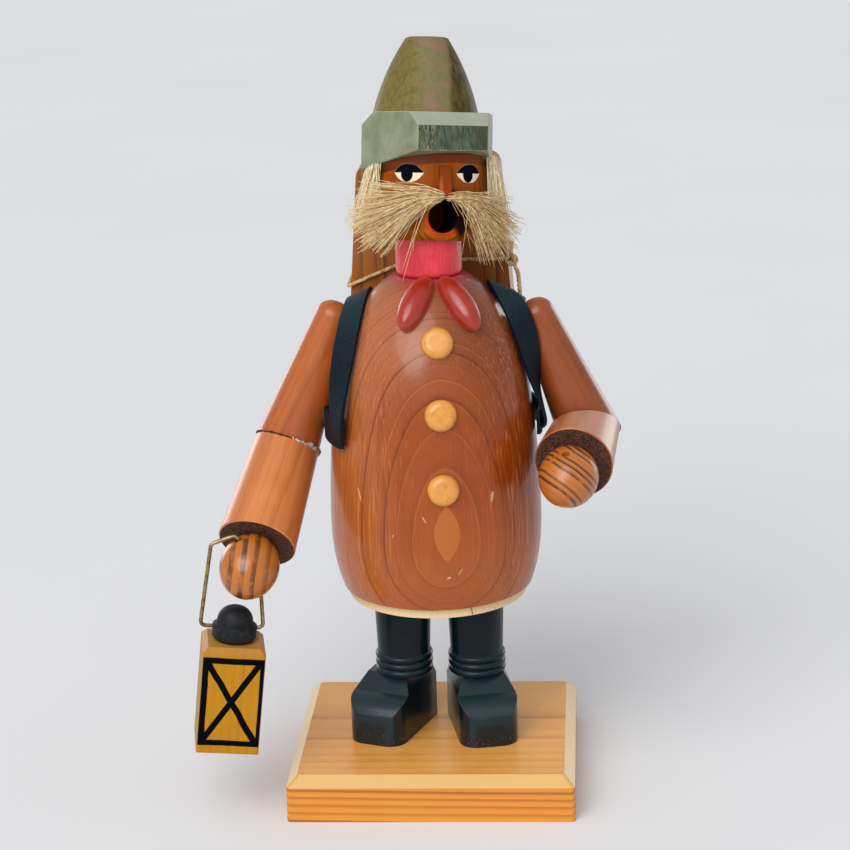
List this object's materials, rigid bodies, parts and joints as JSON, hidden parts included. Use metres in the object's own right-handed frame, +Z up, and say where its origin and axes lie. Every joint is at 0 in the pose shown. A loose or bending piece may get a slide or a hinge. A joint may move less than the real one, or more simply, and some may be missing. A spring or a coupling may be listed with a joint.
{
  "type": "german incense smoker",
  "caption": "Turned wooden incense smoker: a bearded figure with a lantern and a board pack that lifts off its stand, so that an incense cone inside smokes through the round mouth.",
  "frame": {"origin": "on the base board's underside, under the turning axis of the coat", "axes": "+Z up along the coat's turning axis, -Y the way the figure faces, +X to the viewer's right"},
  "size_m": [0.1653, 0.1205, 0.2906],
  "materials": {
    "stained_wood": "satin",
    "head_wood": "satin",
    "pine": "satin",
    "pale_wood": "matte",
    "pack_wood": "satin",
    "inner_wood": "matte",
    "black_paint": "gloss",
    "green_paint": "matte",
    "olive_stain": "satin",
    "rose_paint": "satin",
    "tail_paint": "gloss",
    "nose_paint": "satin",
    "lantern_wood": "satin",
    "straw": "matte",
    "twine": "matte",
    "leather": "satin",
    "wire": "tarnished",
    "tin": "dull",
    "tack": "dull"
  },
  "bodies": {
    "stand": {"base_board": "pine", "left_boot": "black_paint", "right_boot": "black_paint", "boot_dowels": "inner_wood", "left_leg": "black_paint", "right_leg": "black_paint", "seat_disc": "pale_wood", "incense_dish": "tin", "dish_tack": "tack"},
    "figure": {"coat": "stained_wood", "top_button": "pine", "middle_button": "pine", "bottom_button": "pine", "head": "head_wood", "nose": "nose_paint", "scarf_band": "rose_paint", "left_scarf_tail": "tail_paint", "right_scarf_tail": "tail_paint", "hat_brim": "green_paint", "hat_crown": "olive_stain", "left_moustache": "straw", "right_moustache": "straw", "left_hair": "straw", "right_hair": "straw", "pack_front": "pack_wood", "pack_back": "pack_wood", "pack_left_side": "pack_wood", "pack_right_side": "pack_wood", "pack_floor": "pack_wood", "pack_dowels": "inner_wood", "left_strap": "leather", "right_strap": "leather", "pack_twine": "twine", "lantern_upper_arm": "stained_wood", "lantern_forearm": "stained_wood", "lantern_elbow_dowel": "inner_wood", "lantern_shoulder_dowel": "inner_wood", "lantern_hand": "pine", "staff_upper_arm": "stained_wood", "staff_forearm": "stained_wood", "staff_elbow_dowel": "inner_wood", "staff_shoulder_dowel": "inner_wood", "staff_hand": "pine"},
    "bail": {"lantern_bail": "wire"},
    "lantern": {"lantern_block": "lantern_wood", "lantern_cap": "black_paint"}
  },
  "joints": [
    {"name": "lift_off", "type": "slide", "parent": "stand", "child": "figure", "axis": [0, 0, 1], "range_m": [0, 0.06]},
    {"name": "bail_swing", "type": "hinge", "parent": "figure", "child": "bail", "pos_m": [-0.06778, -0.04174, 0.1008], "axis": [-0.3043, -0.0537, 0.9511], "range_deg": [-40, 70]},
    {"name": "lantern_swing", "type": "hinge", "parent": "bail", "child": "lantern", "pos_m": [-0.07448, -0.04293, 0.0773], "axis": [0.9775, 0.1724, -0.1219], "range_deg": [-50, 50]}
  ]
}
